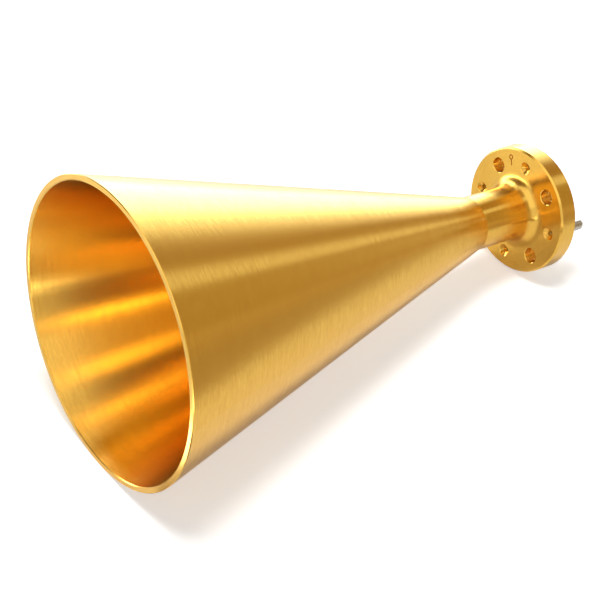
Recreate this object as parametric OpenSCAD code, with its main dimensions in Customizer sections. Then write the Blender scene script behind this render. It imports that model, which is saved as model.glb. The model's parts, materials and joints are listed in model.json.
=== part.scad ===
// Conical horn antenna with a round waveguide flange.
// It is turned from one bar, stands on its mouth, and carries two dowel pins on the mating face.

/* [Flare] */
// Outer diameter of the mouth
mouth_d = 40; // [32:0.5:50]
// Wall of the flare, measured square to the horn's axis
wall = 0.8; // [0.5:0.1:1.2]
// Length of the straight flare, from the mouth to the neck
flare_length = 60.6; // [45:0.1:80]
// Broken edges round the mouth
mouth_break = 0.1; // [0.05:0.05:0.2]

/* [Neck] */
// Outer diameter of the neck between flare and flange
neck_d = 8; // [7:0.1:8.4]
// Length of the neck, from the flare to the flange
neck_length = 9.4; // [6:0.1:16]
// Fillet radius where the neck runs into the flange
neck_fillet = 1.8; // [1:0.1:1.9]

/* [Waveguide] */
// Diameter of the round waveguide
guide_d = 3.58; // [3:0.01:4.4]

/* [Flange] */
// Diameter of the flange
flange_d = 19.05; // [18.6:0.05:22]
// Thickness of the flange
flange_t = 3; // [2.8:0.1:5]
// Chamfer on both rims of the flange
flange_chamfer = 0.25; // [0.1:0.05:0.4]

/* [Flange holes] */
// Diameter of the circle that screws and dowels share
pitch_d = 14.288; // [14:0.002:14.5]
// Minor diameter of the tapped screw holes
screw_d = 2.2; // [2:0.05:2.3]
// Diameter of the alignment holes that take the mating flange's pins
align_d = 1.7; // [1.6:0.01:1.8]
// Depth of the dowel and alignment holes, from the mating face
dowel_depth = 2.1; // [1.5:0.05:2.1]
// Diameter of the drill spot in front of each dowel position
spot_d = 1.66; // [1.4:0.02:1.9]
// Diameter of the vent between a drill spot and its dowel hole
vent_d = 0.75; // [0.6:0.05:0.9]
// Broken edges of all the flange holes
hole_break = 0.1; // [0.05:0.05:0.15]

/* [Dowel pins] */
// Diameter of a dowel pin's free end, which guides the mating flange
pin_d = 1.562; // [1.4:0.002:1.6]
// Diameter of a dowel pin's seated shank
shank_d = 1.588; // [1.56:0.002:1.64]
// Height of a dowel pin above the mating face
pin_height = 3.96; // [2:0.01:5]
// Length of the tapered lead at a pin's free end
pin_lead = 0.5; // [0.2:0.05:0.8]
// Width of the grinding relief between shank and free end, half of it above the mating face
relief_w = 0.6; // [0.5:0.05:0.7]
// Depth of the grinding relief
relief_depth = 0.2; // [0.16:0.01:0.24]
// Radial gap of a dowel pin's shank in its hole
pin_gap = 0.003; // [0:0.001:0.01]

/* [Index mark] */
// Outer diameter of the engraved index ring
mark_d = 0.8; // [0.6:0.05:1]
// Width of the engraved lines
mark_line = 0.18; // [0.1:0.02:0.25]
// Depth of the engraving
mark_depth = 0.08; // [0.04:0.01:0.15]
// Length of the line that runs in from the ring
mark_tail = 0.9; // [0.4:0.1:1.2]
// Distance of the index ring from the axis
mark_reach = 8.1; // [7.9:0.05:8.5]

/* [Hidden] */
$fn = 96;

mouth_r = mouth_d / 2;
neck_r = neck_d / 2;
guide_r = guide_d / 2;
flange_r = flange_d / 2;
pitch_r = pitch_d / 2;

// Heights along the axis, with the mouth at zero.
flange_z = flare_length + neck_length;
mating_z = flange_z + flange_t;

// Both faces of the flare have one slope, so the wall runs even up to the throat.
flare_slope = (mouth_r - neck_r) / flare_length;
throat_z = (mouth_r - wall - guide_r) / flare_slope;

// Eight positions share the pitch circle: pins along X, alignment holes along Y, screws between.
pin_angles = [0, 180];
align_angles = [90, 270];
screw_angles = [45, 135, 225, 315];
index_angle = 247.5;

// A drill with a 118 degree point leaves a cone of this depth.
drill_slope = tan((180 - 118) / 2);
spot_cone = (spot_d - vent_d) / 2 * drill_slope;

pin_seat = mating_z - dowel_depth;
pin_top = mating_z + pin_height;
lead_angle = 30;

// Cuts run past the faces that they break through.
eps = 0.01;

gold = [0.86, 0.66, 0.27];
steel = [0.72, 0.71, 0.69];

// Places its children round the pitch circle.
module on_pitch_circle(angles)
{
    for (angle = angles)
        rotate([0, 0, angle])
            translate([pitch_r, 0, 0])
                children();
}

// Disc with both rims chamfered.
module chamfered_disc(r, height, chamfer)
{
    rotate_extrude()
        polygon([
            [0, 0],
            [r - chamfer, 0],
            [r, chamfer],
            [r, height - chamfer],
            [r - chamfer, height],
            [0, height]
        ]);
}

// Concave ring that blends a shaft of radius r up into a face at height z.
module fillet_ring(r, fillet, z)
{
    translate([0, 0, z - fillet])
        rotate_extrude()
            difference() {
                translate([r - eps, 0])
                    square([fillet + eps, fillet + eps]);
                translate([r + fillet, 0])
                    circle(fillet);
            }
}

// Flaring tool that breaks the edge of a hole of radius r by size, in a face at z = 0, opening down.
module edge_break(r, size)
{
    translate([0, 0, -eps])
        cylinder(h = size + eps, r1 = r + size + eps, r2 = r);
}

// Outside of the flare, with its outer edge broken at the mouth.
module flare()
{
    rotate_extrude()
        polygon([
            [0, 0],
            [mouth_r - mouth_break, 0],
            [mouth_r - mouth_break * flare_slope, mouth_break],
            [neck_r, flare_length],
            [0, flare_length]
        ]);
}

// Outside of the horn: flare, neck, fillet and flange.
module outer_form()
{
    flare();
    cylinder(h = mating_z - flange_chamfer, r = neck_r);
    fillet_ring(neck_r, neck_fillet, flange_z);
    translate([0, 0, flange_z])
        chamfered_disc(flange_r, flange_t, flange_chamfer);
}

// Inside of the horn: flare, throat and waveguide.
module inner_form()
{
    bore_slope_start = mouth_r - wall + eps * flare_slope;
    translate([0, 0, -eps])
        cylinder(h = throat_z + eps, r1 = bore_slope_start, r2 = guide_r);
    cylinder(h = mating_z + eps, r = guide_r);
    edge_break(mouth_r - wall, mouth_break);
}

// Tapped screw hole through the flange, cut to its minor diameter.
module screw_hole()
{
    translate([0, 0, flange_z - eps])
        cylinder(h = flange_t + 2 * eps, d = screw_d);
    translate([0, 0, flange_z])
        edge_break(screw_d / 2, hole_break);
    translate([0, 0, mating_z])
        mirror([0, 0, 1])
            edge_break(screw_d / 2, hole_break);
}

// Stepped dowel seat: drill spot and vent in front, straight hole of radius r in the mating face.
module dowel_seat(r)
{
    translate([0, 0, flange_z])
        edge_break(spot_d / 2, hole_break);
    translate([0, 0, flange_z + hole_break])
        cylinder(h = spot_cone, d1 = spot_d, d2 = vent_d);
    translate([0, 0, flange_z])
        cylinder(h = flange_t - dowel_depth + eps, d = vent_d);
    translate([0, 0, pin_seat])
        cylinder(h = dowel_depth + eps, r = r);
}

// Engraved ring and line on the front of the flange, which mark its turning position.
module index_mark()
{
    rotate([0, 0, index_angle])
        translate([mark_reach, 0, flange_z - eps]) {
            difference() {
                cylinder(h = mark_depth + eps, d = mark_d);
                translate([0, 0, -eps])
                    cylinder(h = mark_depth + 3 * eps, d = mark_d - 2 * mark_line);
            }
            translate([-mark_d / 2 - mark_tail, -mark_line / 2, 0])
                cube([mark_tail + mark_line / 2, mark_line, mark_depth + eps]);
        }
}

// One-piece turned body.
module horn_body()
{
    color(gold)
        difference() {
            outer_form();
            inner_form();
            on_pitch_circle(screw_angles)
                screw_hole();
            on_pitch_circle(align_angles) {
                dowel_seat(align_d / 2);
                translate([0, 0, mating_z])
                    mirror([0, 0, 1])
                        edge_break(align_d / 2, hole_break);
            }
            on_pitch_circle(pin_angles)
                dowel_seat(shank_d / 2 + pin_gap);
            index_mark();
        }
}

// Steel dowel pin: shank pressed into the mating face, grinding relief, guiding end with a lead.
module dowel_pin(angle)
{
    pin_r = pin_d / 2;
    shank_r = shank_d / 2;
    relief_r = pin_r - relief_depth;
    lead_r = pin_r - pin_lead * tan(lead_angle);
    color(steel)
        on_pitch_circle([angle])
            rotate_extrude()
                polygon([
                    [0, pin_seat],
                    [shank_r, pin_seat],
                    [shank_r, mating_z - relief_w / 2],
                    [relief_r, mating_z - relief_w / 2],
                    [relief_r, mating_z + relief_w / 2],
                    [pin_r, mating_z + relief_w / 2],
                    [pin_r, pin_top - pin_lead],
                    [lead_r, pin_top],
                    [0, pin_top]
                ]);
}

module dowel_pin_left()
{
    dowel_pin(pin_angles[1]);
}

module dowel_pin_right()
{
    dowel_pin(pin_angles[0]);
}

horn_body();
dowel_pin_left();
dowel_pin_right();
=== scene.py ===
import json
import math

import bpy
import numpy as np
from mathutils import Matrix, Vector


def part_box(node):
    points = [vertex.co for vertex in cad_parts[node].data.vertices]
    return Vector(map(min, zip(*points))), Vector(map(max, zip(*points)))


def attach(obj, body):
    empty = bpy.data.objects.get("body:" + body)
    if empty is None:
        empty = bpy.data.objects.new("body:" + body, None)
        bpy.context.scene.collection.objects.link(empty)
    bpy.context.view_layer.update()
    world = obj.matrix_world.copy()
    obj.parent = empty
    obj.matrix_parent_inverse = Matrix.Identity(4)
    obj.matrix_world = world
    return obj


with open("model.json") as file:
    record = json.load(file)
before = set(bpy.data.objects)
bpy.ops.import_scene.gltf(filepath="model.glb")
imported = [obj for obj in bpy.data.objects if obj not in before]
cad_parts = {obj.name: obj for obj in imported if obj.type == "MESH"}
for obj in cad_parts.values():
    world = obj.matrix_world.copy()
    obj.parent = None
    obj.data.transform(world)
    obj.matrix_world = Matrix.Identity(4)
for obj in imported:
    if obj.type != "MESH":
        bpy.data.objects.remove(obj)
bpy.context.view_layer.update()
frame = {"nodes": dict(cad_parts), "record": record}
mm = 0.001
axis = Vector((0, 0, 1))   # the horn's own, from the mouth to the flange's mating face

mounts = {mount["name"]: mount for mount in frame["record"]["mounts"]}
print("frame loaded:", sorted(frame["nodes"]))

# The horn stands on its mouth in its own frame. In the studio it lies on its side, so the studio's
# floor is the plane that touches the rims of mouth and flange, and its up is that plane's normal.
layout = {
    "restAngle": 88.3,        # degrees round the axis, where the rims touch the floor
    "flangeRadius": 9.525,    # mm
    "flangeThickness": 3.0,   # mm
    "flangeChamfer": 0.25,    # mm
    "markDepth": 0.08,        # mm
}
low, high = (np.array(corner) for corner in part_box("horn_body"))
mouthRadius = (high[0] - low[0]) / 2
matingZ = mounts["mating_face"]["pos_m"][2]
rimZ = matingZ - layout["flangeChamfer"] * mm
restAngle = math.radians(layout["restAngle"])
outward = Vector((math.cos(restAngle), math.sin(restAngle), 0))
mouthTouch = outward * mouthRadius
flangeTouch = outward * layout["flangeRadius"] * mm + axis * rimZ
along = (flangeTouch - mouthTouch).normalized()
studioUp = along.cross(outward.cross(axis)).normalized()
if studioUp.dot(outward) > 0:
    studioUp = -studioUp


def addObject(name, data):
    thing = bpy.data.objects.new(name, data)
    bpy.context.scene.collection.objects.link(thing)
    return thing


# Puts a camera or a lamp at a place, with its own right, up and back along three directions
def standAt(thing, place, right, up, back):
    rows = [(right[i], up[i], back[i], place[i]) for i in range(3)]
    thing.matrix_world = Matrix((*rows, (0, 0, 0, 1)))


# Camera: its place, and the directions of its right and its up, in the horn's frame
view = {
    "place": (111.93, -99.82, -69.65),   # mm
    "right": (0.58935, -0.13372, 0.79673),
    "up": (-0.52679, -0.81131, 0.2535),
    "lens": 81.286,                      # mm
    "sensor": 36.0,                      # mm
    "clip": (5.0, 5000.0),               # mm
}
cameraData = bpy.data.cameras.new("studioCamera")
cameraData.lens = view["lens"]
cameraData.sensor_width = view["sensor"]
cameraData.clip_start, cameraData.clip_end = (distance * mm for distance in view["clip"])
camera = addObject("studioCamera", cameraData)
right = Vector(view["right"]).normalized()
back = right.cross(Vector(view["up"])).normalized()
standAt(camera, Vector(view["place"]) * mm, right, back.cross(right), back)
bpy.context.scene.camera = camera
studioFront = studioUp.cross(right).normalized()   # level, away from the camera
if studioFront.dot(back) > 0:
    studioFront = -studioFront
studioSide = studioFront.cross(studioUp).normalized()
middle = Vector((0, 0, (low[2] + high[2]) / 2))
print("camera placed, studio up", tuple(round(part, 3) for part in studioUp))


# A place in the studio, in mm: to the side, away from the camera, and up from the horn's middle
def studioPlace(side, front, height):
    return middle + (studioSide * side + studioFront * front + studioUp * height) * mm


# sRGB hex text to the linear colour that a shader takes
def toLinear(hexText):
    values = [int(hexText[i:i + 2], 16) / 255 for i in (0, 2, 4)]
    return [v / 12.92 if v <= 0.04045 else ((v + 0.055) / 1.055) ** 2.4 for v in values] + [1.0]


# A node with its settings. A socket is named or numbered, and takes a link or a fixed value.
def addNode(tree, kind, settings=None, sockets=None):
    node = tree.nodes.new(kind)
    for name, value in (settings or {}).items():
        setattr(node, name, value)
    for name, value in (sockets or {}).items():
        if isinstance(value, bpy.types.NodeSocket):
            tree.links.new(value, node.inputs[name])
        else:
            node.inputs[name].default_value = value
    return node


def newMaterial(name):
    material = bpy.data.materials.new(name)
    material.use_nodes = True
    material.node_tree.nodes.clear()
    return material, material.node_tree


# Gold-plated brass, turned on a lathe and plated without a bright dip: each pass of the tool leaves
# a fine circular groove, so the eye sees soft bands of light along the horn, across the grooves.
goldFinish = {
    "gold": "eabc58",
    "goldDeep": "e0ad4a",     # in the grooves, where the plating looks redder
    "mark": "a8641e",         # floor of the engraved mark, painted darker as shade in the recess
    "roughness": 0.22,
    "glossSpread": 0.03,      # how far the grooves move the roughness, up and down
    "anisotropic": 0.8,
    "turned": 0.25,           # of a turn, which lays the shine along the horn
    "grooveSpacing": 0.16,    # mm
    "grooveArc": 7.0,         # mm, how far a groove keeps its look round the horn
    "grooveDetail": 1.0,
    "brushSpacing": 0.11,     # mm, coarser than the real marks, so that it still shows
    "brushArc": 1.2,          # mm
    "brushDetail": 2.0,
    "noiseRoughness": 0.6,
    "brushShare": 0.65,       # of the marks, the rest being grooves
    "toneRange": (0.35, 0.65),
    "glossRange": (0.3, 0.7),
    "grooveDepth": 0.0010,    # mm
    "markBand": 0.3,          # of the mark's depth, to either side of its floor
    "markFacing": -0.95,      # the mark's floor faces the mouth
}


def makeGold(finish):
    material, tree = newMaterial("turned gold-plated brass")
    place = addNode(tree, "ShaderNodeTexCoord").outputs["Object"]
    parts = addNode(tree, "ShaderNodeSeparateXYZ", sockets={0: place}).outputs
    flat = addNode(tree, "ShaderNodeCombineXYZ", sockets={0: parts["X"], 1: parts["Y"]})
    radius = addNode(tree, "ShaderNodeVectorMath", {"operation": "LENGTH"}, {0: flat.outputs[0]})
    # height plus radius is even round the horn, on its sides as on its flat faces
    travel = addNode(tree, "ShaderNodeMath", {"operation": "ADD"},
                     {0: parts["Z"], 1: radius.outputs["Value"]})
    travelled = addNode(tree, "ShaderNodeCombineXYZ",
                        sockets={0: parts["X"], 1: parts["Y"], 2: travel.outputs[0]})

    marks = []
    for kind in ("groove", "brush"):
        spacing, arc = finish[kind + "Spacing"] * mm, finish[kind + "Arc"] * mm
        scaled = addNode(tree, "ShaderNodeVectorMath", {"operation": "MULTIPLY"},
                         {0: travelled.outputs[0], 1: (1 / arc, 1 / arc, 1 / spacing)})
        noise = addNode(tree, "ShaderNodeTexNoise", sockets={
            "Vector": scaled.outputs[0], "Scale": 1.0,
            "Detail": finish[kind + "Detail"], "Roughness": finish["noiseRoughness"]})
        marks.append(noise.outputs["Fac"])
    both = addNode(tree, "ShaderNodeMix", {"data_type": "FLOAT"},
                   {"Factor": finish["brushShare"], "A": marks[0], "B": marks[1]}).outputs[0]

    # 6 and 7 are the colour inputs of a Mix node, and 2 is its colour output
    tone = addNode(tree, "ShaderNodeMapRange", sockets={
        "Value": both, "From Min": finish["toneRange"][0], "From Max": finish["toneRange"][1]})
    plating = addNode(tree, "ShaderNodeMix", {"data_type": "RGBA"}, {
        "Factor": tone.outputs[0], 6: toLinear(finish["goldDeep"]), 7: toLinear(finish["gold"])})

    # the engraved mark's floor lies a little above the front of the flange, and its darker colour
    # is painted shade
    markZ = matingZ - (layout["flangeThickness"] - layout["markDepth"]) * mm
    atMark = addNode(tree, "ShaderNodeMath", {"operation": "COMPARE"},
                     {0: parts["Z"], 1: markZ, 2: finish["markBand"] * layout["markDepth"] * mm})
    normal = addNode(tree, "ShaderNodeNewGeometry").outputs["True Normal"]
    facing = addNode(tree, "ShaderNodeSeparateXYZ", sockets={0: normal}).outputs["Z"]
    flatDown = addNode(tree, "ShaderNodeMath", {"operation": "LESS_THAN"},
                       {0: facing, 1: finish["markFacing"]})
    markShadeMask = addNode(tree, "ShaderNodeMath", {"operation": "MULTIPLY"},
                     {0: atMark.outputs[0], 1: flatDown.outputs[0]})
    # painted shade: the mark's floor takes the darker colour in place of the plating
    withMarkShade = addNode(tree, "ShaderNodeMix", {"data_type": "RGBA"}, {
        "Factor": markShadeMask.outputs[0], 6: plating.outputs[2], 7: toLinear(finish["mark"])})

    gloss = addNode(tree, "ShaderNodeMapRange", sockets={
        "Value": both, "From Min": finish["glossRange"][0], "From Max": finish["glossRange"][1],
        "To Min": finish["roughness"] + finish["glossSpread"],
        "To Max": finish["roughness"] - finish["glossSpread"]})
    bump = addNode(tree, "ShaderNodeBump", sockets={
        "Height": both, "Strength": 1.0, "Distance": finish["grooveDepth"] * mm})
    tangent = addNode(tree, "ShaderNodeTangent", {"direction_type": "RADIAL", "axis": "Z"})
    metal = addNode(tree, "ShaderNodeBsdfPrincipled", sockets={
        "Base Color": withMarkShade.outputs[2], "Metallic": 1.0, "Roughness": gloss.outputs[0],
        "Anisotropic": finish["anisotropic"], "Anisotropic Rotation": finish["turned"],
        "Tangent": tangent.outputs[0], "Normal": bump.outputs[0]})
    addNode(tree, "ShaderNodeOutputMaterial", sockets={"Surface": metal.outputs[0]})
    return material


# Hardened steel dowel, centreless ground: fine rings round the pin and a dull shine.
steelFinish = {
    "steel": "b9b2a6",
    "roughness": 0.26,
    "smoother": 0.05,       # less roughness in a ring's groove
    "rougher": 0.07,        # more on its crest
    "glossRange": (0.3, 0.7),
    "ringSpacing": 0.05,    # mm
    "ringScale": 300.0,     # per metre across the pin, so that a ring changes little round it
    "ringDetail": 2.0,
    "ringDepth": 0.0003,    # mm
}


def makeSteel(finish):
    material, tree = newMaterial("ground dowel steel")
    place = addNode(tree, "ShaderNodeTexCoord").outputs["Object"]
    scaled = addNode(tree, "ShaderNodeVectorMath", {"operation": "MULTIPLY"}, {
        0: place, 1: (finish["ringScale"], finish["ringScale"], 1 / (finish["ringSpacing"] * mm))})
    rings = addNode(tree, "ShaderNodeTexNoise", sockets={
        "Vector": scaled.outputs[0], "Scale": 1.0, "Detail": finish["ringDetail"]}).outputs["Fac"]
    gloss = addNode(tree, "ShaderNodeMapRange", sockets={
        "Value": rings, "From Min": finish["glossRange"][0], "From Max": finish["glossRange"][1],
        "To Min": finish["roughness"] - finish["smoother"],
        "To Max": finish["roughness"] + finish["rougher"]})
    bump = addNode(tree, "ShaderNodeBump", sockets={
        "Height": rings, "Strength": 1.0, "Distance": finish["ringDepth"] * mm})
    metal = addNode(tree, "ShaderNodeBsdfPrincipled", sockets={
        "Base Color": toLinear(finish["steel"]), "Metallic": 1.0, "Roughness": gloss.outputs[0],
        "Normal": bump.outputs[0]})
    addNode(tree, "ShaderNodeOutputMaterial", sockets={"Surface": metal.outputs[0]})
    return material


gold = makeGold(goldFinish)
steel = makeSteel(steelFinish)
finishes = {"horn_body": gold, "dowel_pin_left": steel, "dowel_pin_right": steel}
for name, material in finishes.items():
    for slot in frame["nodes"][name].material_slots:
        slot.material = material
print("materials on", len(finishes), "nodes")

# Screw threads: one ridge winds up each tapped hole.
thread = {
    "pitch": 0.635,       # mm, 40 turns to the inch
    "crest": 0.10,        # mm that the ridge stands in from the wall
    "sunk": 0.01,         # mm that its foot is sunk into the wall
    "footWidth": 0.84,    # of the pitch
    "crestWidth": 0.16,   # of the pitch
    "edge": 0.14,         # mm kept free at both faces
    "runOut": 0.25,       # of a turn, over which the ridge grows at each end
    "leastRise": 0.02,    # of the full ridge, left at its very ends
    "stepsPerTurn": 40,
}


# A ridge: a point at turn t and profile place s lies on a circle of radius wall - rise(s) round the
# hole, at height pitch * t + width(s). Rise and width run out at both ends of the ridge.
def makeThreads(sizes):
    screws = mounts["flange_screws"]
    wall = screws["dims"]["hole_r_mm"]
    pitchCircle = screws["dims"]["pcd_mm"] / 2
    count = screws["dims"]["count"]
    pitch, foot = sizes["pitch"], sizes["footWidth"] / 2
    crest = sizes["crestWidth"] / 2
    topZ = screws["pos_m"][2] / mm - sizes["edge"]
    bottomZ = screws["pos_m"][2] / mm - layout["flangeThickness"] + sizes["edge"]
    width = pitch * np.array([-foot, -crest, crest, foot])
    rise = np.array([-sizes["sunk"], sizes["crest"], sizes["crest"], -sizes["sunk"]])
    turns = (topZ - bottomZ - sizes["footWidth"] * pitch) / pitch
    steps = int(turns * sizes["stepsPerTurn"]) + 1
    t = np.linspace(0, turns, steps)[:, None]
    runOut = np.clip(np.minimum(t, turns - t) / sizes["runOut"], sizes["leastRise"], 1)
    height = bottomZ + (foot + t) * pitch + width * runOut
    reach = wall - np.where(rise > 0, rise * runOut, rise)
    profile = len(width)
    rings = np.arange(steps - 1)[:, None] * profile
    here, following = rings + np.arange(profile), rings + (np.arange(profile) + 1) % profile
    quads = np.stack([here, following, following + profile, here + profile], axis=-1).reshape(-1, 4)
    points, faces = [], []
    for hole in range(count):
        angle = 2 * np.pi * (hole + 0.5) / count
        swing = 2 * np.pi * t + angle
        x = pitchCircle * np.cos(angle) + reach * np.cos(swing)
        y = pitchCircle * np.sin(angle) + reach * np.sin(swing)
        points.append(np.stack([x, y, height], axis=-1).reshape(-1, 3) * mm)
        start = hole * steps * profile
        end = start + (steps - 1) * profile
        faces += (quads + start).tolist()
        faces.append(list(range(start + profile - 1, start - 1, -1)))
        faces.append(list(range(end, end + profile)))
    mesh = bpy.data.meshes.new("screw_threads")
    mesh.from_pydata(np.concatenate(points).tolist(), [], faces)
    mesh.update()
    return mesh


threads = addObject("screw_threads", makeThreads(thread))
threads.data.materials.append(gold)
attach(threads, "root")
print("threads made:", len(threads.data.polygons), "faces")


# A stage mesh of one flat face, through four corners in turn
def flatMesh(name, corners):
    mesh = bpy.data.meshes.new(name)
    mesh.from_pydata([corner[:] for corner in corners], [], [(0, 1, 2, 3)])
    mesh.update()
    return mesh


# Floor: white paper board, seen from above only. It gives off some light of its own to the camera
# and to the metal, so that it reads white, and what falls short of that is the horn's shadow.
board = {
    "size": 900.0,          # mm
    "white": "e8e8e8",
    "glow": 0.52,           # to the camera, near the horn
    "metalGlow": 0.2,       # to the metal, near the horn
    "farGlow": 1.0,
    "nearRadius": 70.0,     # mm from the middle of the horn's foot
    "farRadius": 160.0,     # mm
}


def makeFloor(sizes):
    half = sizes["size"] / 2 * mm
    centre = mouthTouch.lerp(flangeTouch, 0.5)
    corners = [centre + (studioSide * side + studioFront * front) * half
               for side, front in ((-1, -1), (1, -1), (1, 1), (-1, 1))]
    floor = addObject("floor", flatMesh("floor", corners))
    material, tree = newMaterial("white paper board")
    light = addNode(tree, "ShaderNodeLightPath").outputs
    place = addNode(tree, "ShaderNodeTexCoord").outputs["Object"]
    far = addNode(tree, "ShaderNodeVectorMath", {"operation": "DISTANCE"}, {0: place, 1: centre[:]})
    glows = []
    for ray, near in (("Is Camera Ray", sizes["glow"]), ("Is Glossy Ray", sizes["metalGlow"])):
        glow = addNode(tree, "ShaderNodeMapRange", sockets={
            "Value": far.outputs["Value"], "From Min": sizes["nearRadius"] * mm,
            "From Max": sizes["farRadius"] * mm, "To Min": near, "To Max": sizes["farGlow"]})
        glows.append(addNode(tree, "ShaderNodeMath", {"operation": "MULTIPLY"},
                             {0: glow.outputs[0], 1: light[ray]}).outputs[0])
    strength = addNode(tree, "ShaderNodeMath", {"operation": "MAXIMUM"}, {0: glows[0], 1: glows[1]})
    paper = addNode(tree, "ShaderNodeBsdfDiffuse", sockets={"Color": toLinear(sizes["white"])})
    shine = addNode(tree, "ShaderNodeEmission", sockets={"Strength": strength.outputs[0]})
    lit = addNode(tree, "ShaderNodeAddShader", sockets={0: paper.outputs[0], 1: shine.outputs[0]})
    behind = addNode(tree, "ShaderNodeNewGeometry").outputs["Backfacing"]
    clear = addNode(tree, "ShaderNodeBsdfTransparent")
    oneSided = addNode(tree, "ShaderNodeMixShader",
                       sockets={0: behind, 1: lit.outputs[0], 2: clear.outputs[0]})
    addNode(tree, "ShaderNodeOutputMaterial", sockets={"Surface": oneSided.outputs[0]})
    floor.data.materials.append(material)


makeFloor(board)
print("floor laid")

# Lamp: soft, above the horn, and seen by the floor and not as a gleam in the metal
overhead = {
    "place": (-15, -30, 330),   # mm in the studio
    "aim": (0, 0, 0),
    "size": (120, 110),         # mm
    "power": 0.88,
}
lampData = bpy.data.lights.new("overhead", "AREA")
lampData.shape = "RECTANGLE"
lampData.size, lampData.size_y = (side * mm for side in overhead["size"])
lampData.energy = overhead["power"]
lamp = addObject("overhead", lampData)
lamp.visible_glossy = False
lampPlace = studioPlace(*overhead["place"])
away = (lampPlace - studioPlace(*overhead["aim"])).normalized()
lampSide = (studioSide - away * studioSide.dot(away)).normalized()
standAt(lamp, lampPlace, lampSide, away.cross(lampSide), away)
print("lamp hung")

# Panels that only the metal sees. They hang along the horn, as arcs of a tunnel round its axis.
# Angles count in degrees from straight up towards the camera. A level over 1 is a lit panel, and
# one under 1 is a flag, which darkens what the metal shows.
tunnel = {
    "radius": 300.0,           # mm
    "mouth": (-500.0, -20.0),  # mm along the horn, for the panels in front of the mouth
    "far": (-20.0, 900.0),     # mm along the horn, for those beside and behind it
    "steps": 24,
}
panels = {
    "wallPanel": {"from": -118, "to": -44, "level": 5.2, "tint": "d8e8ff", "side": "far"},
    "wallEdge": {"from": -44, "to": -28, "level": 2.0, "tint": "e8f2ff", "side": "far"},
    "topFlag": {"from": -18, "to": 14, "level": 0.46, "tint": "ffd898", "side": "far"},
    "nearFlag": {"from": 30, "to": 70, "level": 0.52, "tint": "ffe2a8", "side": "far"},
    "lowFlag": {"from": 70, "to": 100, "level": 0.64, "tint": "ffe6c0", "side": "far"},
    "mouthTop": {"from": -26, "to": 62, "level": 1.4, "tint": "ffffff", "side": "mouth"},
    "mouthGleam": {"from": -96, "to": -85, "level": 8.0, "tint": "ffffff", "side": "mouth"},
    "mouthFlag": {"from": -80, "to": -30, "level": 0.2, "tint": "ffc888", "side": "mouth"},
}
overHorn = (studioUp - axis * studioUp.dot(axis)).normalized()
nearHorn = axis.cross(overHorn)
if nearHorn.dot(camera.location - middle) < 0:
    nearHorn = -nearHorn


# An arc: a point at an angle and a height lies on a circle of the tunnel's radius round the axis
def arcMesh(name, panel):
    angle = np.radians(np.linspace(panel["from"], panel["to"], tunnel["steps"]))[:, None, None]
    height = np.array(tunnel[panel["side"]])[None, :, None]
    ray = np.array(overHorn) * np.cos(angle) + np.array(nearHorn) * np.sin(angle)
    grid = (ray * tunnel["radius"] + np.array(axis) * height) * mm
    first = np.arange(tunnel["steps"] - 1) * 2
    quads = np.stack([first, first + 1, first + 3, first + 2], axis=-1)
    mesh = bpy.data.meshes.new(name)
    mesh.from_pydata(grid.reshape(-1, 3).tolist(), [], quads.tolist())
    return mesh


def hangPanel(name, mesh, panel):
    material, tree = newMaterial(name)
    glow = addNode(tree, "ShaderNodeEmission",
                   sockets={"Color": toLinear(panel["tint"]), "Strength": panel["level"]})
    addNode(tree, "ShaderNodeOutputMaterial", sockets={"Surface": glow.outputs[0]})
    mesh.materials.append(material)
    thing = addObject(name, mesh)
    thing.visible_camera = False
    thing.visible_diffuse = False
    thing.visible_shadow = False


for name, panel in panels.items():
    hangPanel(name, arcMesh(name, panel), panel)

# Strips just over the floor, seen by the metal alone: those in front of the mouth give the inside
# of the flare its streaks. Limits are in mm, along the horn's foot from the mouth, and across
# towards the camera.
stripHeight = 0.5   # mm
strips = {
    "nearFloorFlag": {"along": (0, 600), "across": (42, 420), "level": 0.5, "tint": "ffe6c0"},
    "mouthLowFlag": {"along": (-120, -4), "across": (8, 36), "level": 0.2, "tint": "ffc888"},
    "mouthLowGleam": {"along": (-120, -10), "across": (-3, 5), "level": 7.0, "tint": "ffffff"},
    "mouthNearGleam": {"along": (-120, -10), "across": (60, 92), "level": 6.0, "tint": "ffffff"},
}
acrossFloor = studioUp.cross(along).normalized()
if acrossFloor.dot(camera.location) < 0:
    acrossFloor = -acrossFloor
for name, strip in strips.items():
    (start, end), (inner, outer) = strip["along"], strip["across"]
    corners = [mouthTouch + (along * a + acrossFloor * c + studioUp * stripHeight) * mm
               for a, c in ((start, inner), (end, inner), (end, outer), (start, outer))]
    hangPanel(name, flatMesh(name, corners), strip)
print("panels hung:", len(panels) + len(strips))

# World: white to the camera and the metal, softer for what it adds to the floor
surround = {"seen": 1.0, "fill": 0.25}
world = bpy.data.worlds.new("studio")
world.use_nodes = True
world.node_tree.nodes.clear()
light = addNode(world.node_tree, "ShaderNodeLightPath").outputs
seen = addNode(world.node_tree, "ShaderNodeMath", {"operation": "MAXIMUM"},
               {0: light["Is Camera Ray"], 1: light["Is Glossy Ray"]})
level = addNode(world.node_tree, "ShaderNodeMapRange", sockets={
    "Value": seen.outputs[0], "To Min": surround["fill"], "To Max": surround["seen"]})
sky = addNode(world.node_tree, "ShaderNodeBackground", sockets={
    "Color": (1, 1, 1, 1), "Strength": level.outputs[0]})
addNode(world.node_tree, "ShaderNodeOutputWorld", sockets={"Surface": sky.outputs[0]})
bpy.context.scene.world = world
bpy.context.scene.view_settings.view_transform = "Standard"
print("studio lit")
